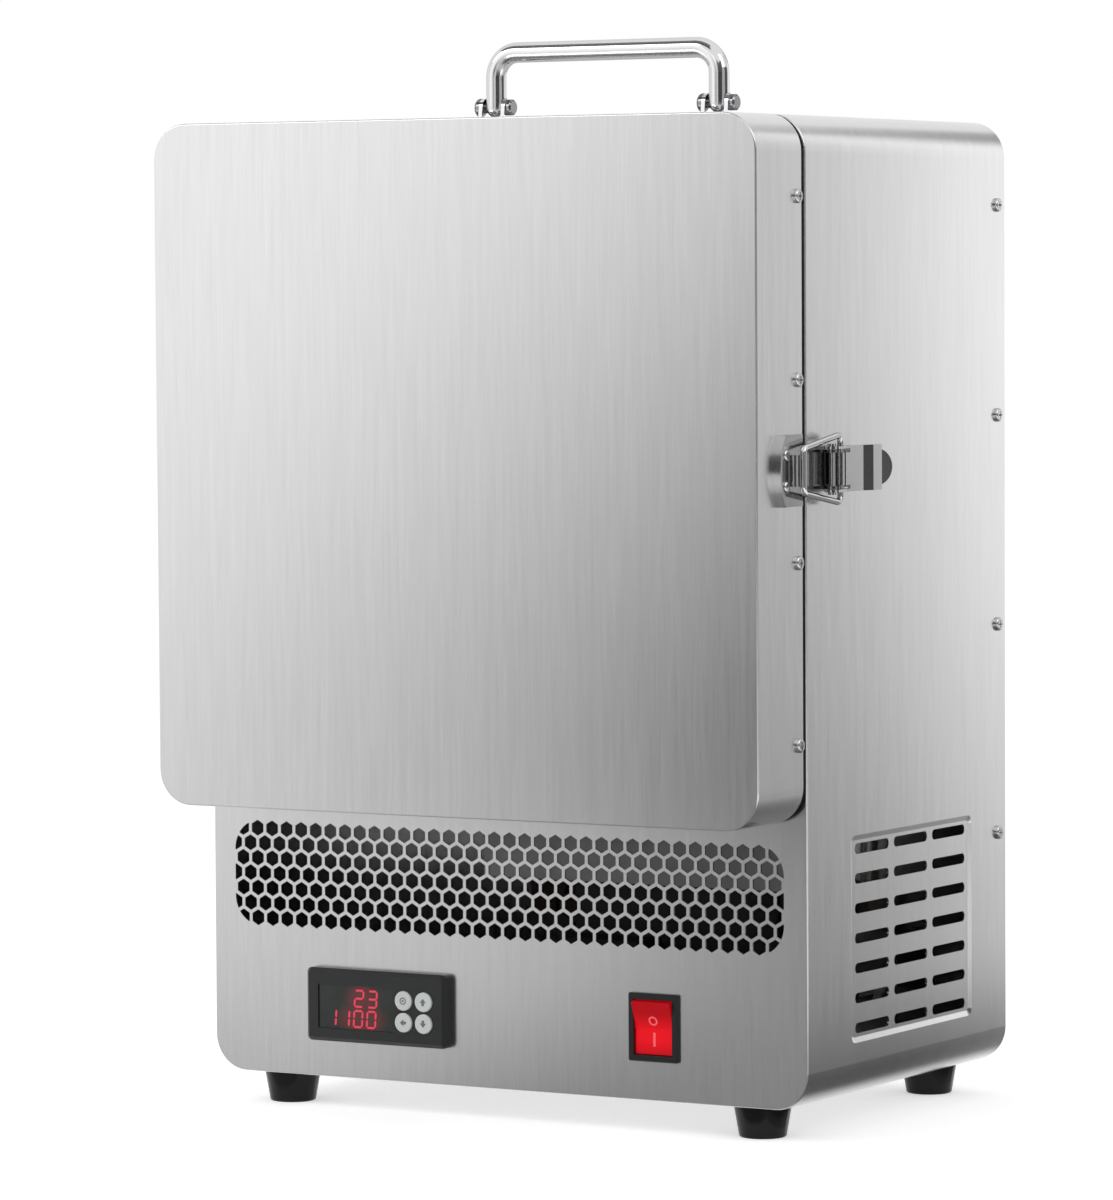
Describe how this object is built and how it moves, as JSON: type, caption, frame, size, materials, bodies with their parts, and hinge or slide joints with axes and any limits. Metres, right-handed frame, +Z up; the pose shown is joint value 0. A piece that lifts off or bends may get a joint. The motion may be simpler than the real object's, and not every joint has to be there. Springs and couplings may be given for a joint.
{
  "type": "jewellery kiln",
  "caption": "Bench-top front-loading electric kiln for firing small jewellery, with a side-hinged door, toggle latch, folding handle and digital controller.",
  "frame": {"origin": "on the plane the feet stand on, under the middle of the case in width and depth", "axes": "+Z up, +Y to the back, +X to the right seen from the front"},
  "size_m": [0.341, 0.2515, 0.503],
  "materials": {
    "brushed_case": "vertically brushed stainless sheet",
    "inner_sheet": "plain galvanised sheet",
    "bright_steel": "bright plated steel",
    "latch_chrome": "polished nickel plate",
    "handle_chrome": "polished chrome",
    "hinge_steel": "satin stainless",
    "foot_rubber": "glossy black rubber",
    "seal_rubber": "matt black seal",
    "fibre_blanket": "ceramic fibre blanket",
    "fibre_board": "ceramic fibre board",
    "heater_alloy": "oxidised heating alloy",
    "white_ceramic": "unglazed ceramic",
    "bright_brass": "plain brass",
    "lead_sleeve": "glass-fibre sleeved lead",
    "probe_steel": "stainless probe sheath",
    "black_plastic": "satin black moulding",
    "smoked_window": "smoked display window",
    "circuit_board": "circuit board",
    "button_grey": "light grey cap",
    "red_lens": "lit red translucent rocker",
    "plain_aluminium": "extruded aluminium",
    "relay_case": "dark relay moulding"
  },
  "bodies": {
    "case": {"case_wrapper": "brushed_case", "front_panel": "brushed_case", "back_panel": "brushed_case", "case_screws": "bright_steel", "bay_divider": "inner_sheet", "box_stands": "inner_sheet", "feet": "foot_rubber", "foot_screws": "bright_steel", "inner_box": "inner_sheet", "insulation_blanket": "fibre_blanket", "side_boards": "fibre_board", "roof_and_floor_boards": "fibre_board", "back_board": "fibre_board", "heating_elements": "heater_alloy", "element_bushings": "white_ceramic", "element_terminals": "bright_brass", "bay_leads": "lead_sleeve", "thermocouple": "probe_steel", "hearth_plate": "white_ceramic", "hinge_case_leaves": "hinge_steel", "hinge_pins": "hinge_steel", "hinge_screws": "bright_steel", "latch_base": "latch_chrome", "latch_base_rivets": "bright_steel", "latch_pin": "latch_chrome", "handle_brackets": "handle_chrome", "handle_pins": "handle_chrome", "handle_screws": "bright_steel", "controller_bezel": "black_plastic", "display_window": "smoked_window", "controller_board": "circuit_board", "controller_housing": "black_plastic", "controller_clips": "black_plastic", "rocker_housing": "black_plastic", "fan_frame": "black_plastic", "terminal_blocks": "white_ceramic", "heat_sink": "plain_aluminium", "solid_state_relay": "relay_case", "power_inlet": "black_plastic", "inlet_pins": "bright_brass", "bay_fasteners": "bright_steel"},
    "door": {"door_shell": "brushed_case", "door_back_plate": "inner_sheet", "door_insulation": "fibre_blanket", "door_plug": "fibre_board", "door_gasket": "seal_rubber", "door_screws": "bright_steel", "hinge_door_leaves": "hinge_steel", "hinge_door_screws": "bright_steel", "latch_keeper": "latch_chrome", "keeper_rivets": "bright_steel"},
    "latch_lever": {"latch_lever": "latch_chrome"},
    "latch_bail": {"latch_bail": "latch_chrome"},
    "handle": {"handle_rod": "handle_chrome"},
    "rocker": {"rocker_button": "red_lens"},
    "fan_rotor": {"fan_rotor": "black_plastic"},
    "set_button": {"set_button": "button_grey"},
    "up_button": {"up_button": "button_grey"},
    "shift_button": {"shift_button": "button_grey"},
    "down_button": {"down_button": "button_grey"}
  },
  "joints": [
    {"name": "door_swing", "type": "hinge", "parent": "case", "child": "door", "pos_m": [-0.164, -0.10175, 0.304], "axis": [0, 0, -1], "range_deg": [0, 150]},
    {"name": "latch_lever_turn", "type": "hinge", "parent": "case", "child": "latch_lever", "pos_m": [0.167, -0.088, 0.304], "axis": [0, 0, -1], "range_deg": [0, 110]},
    {"name": "latch_bail_turn", "type": "hinge", "parent": "latch_lever", "child": "latch_bail", "pos_m": [0.1658, -0.078, 0.304], "axis": [0, 0, -1], "range_deg": [-132, 0]},
    {"name": "handle_fold", "type": "hinge", "parent": "case", "child": "handle", "pos_m": [0, 0, 0.472], "axis": [1, 0, 0], "range_deg": [-90, 90]},
    {"name": "rocker_tilt", "type": "hinge", "parent": "case", "child": "rocker", "pos_m": [0.08075, -0.099, 0.0488], "axis": [-1, 0, 0], "range_deg": [0, 20]},
    {"name": "fan_spin", "type": "hinge", "parent": "case", "child": "fan_rotor", "pos_m": [0, 0.0865, 0.09], "axis": [0, 1, 0], "continuous": true},
    {"name": "set_button_press", "type": "slide", "parent": "case", "child": "set_button", "axis": [0, 1, 0], "range_m": [0, 0.0008], "stiffness_N_per_m": 600},
    {"name": "up_button_press", "type": "slide", "parent": "case", "child": "up_button", "axis": [0, 1, 0], "range_m": [0, 0.0008], "stiffness_N_per_m": 600},
    {"name": "shift_button_press", "type": "slide", "parent": "case", "child": "shift_button", "axis": [0, 1, 0], "range_m": [0, 0.0008], "stiffness_N_per_m": 600},
    {"name": "down_button_press", "type": "slide", "parent": "case", "child": "down_button", "axis": [0, 1, 0], "range_m": [0, 0.0008], "stiffness_N_per_m": 600}
  ],
  "couplings": [
    {"joint": "latch_bail_turn", "follows": "latch_lever_turn", "ratio": -1.2}
  ]
}
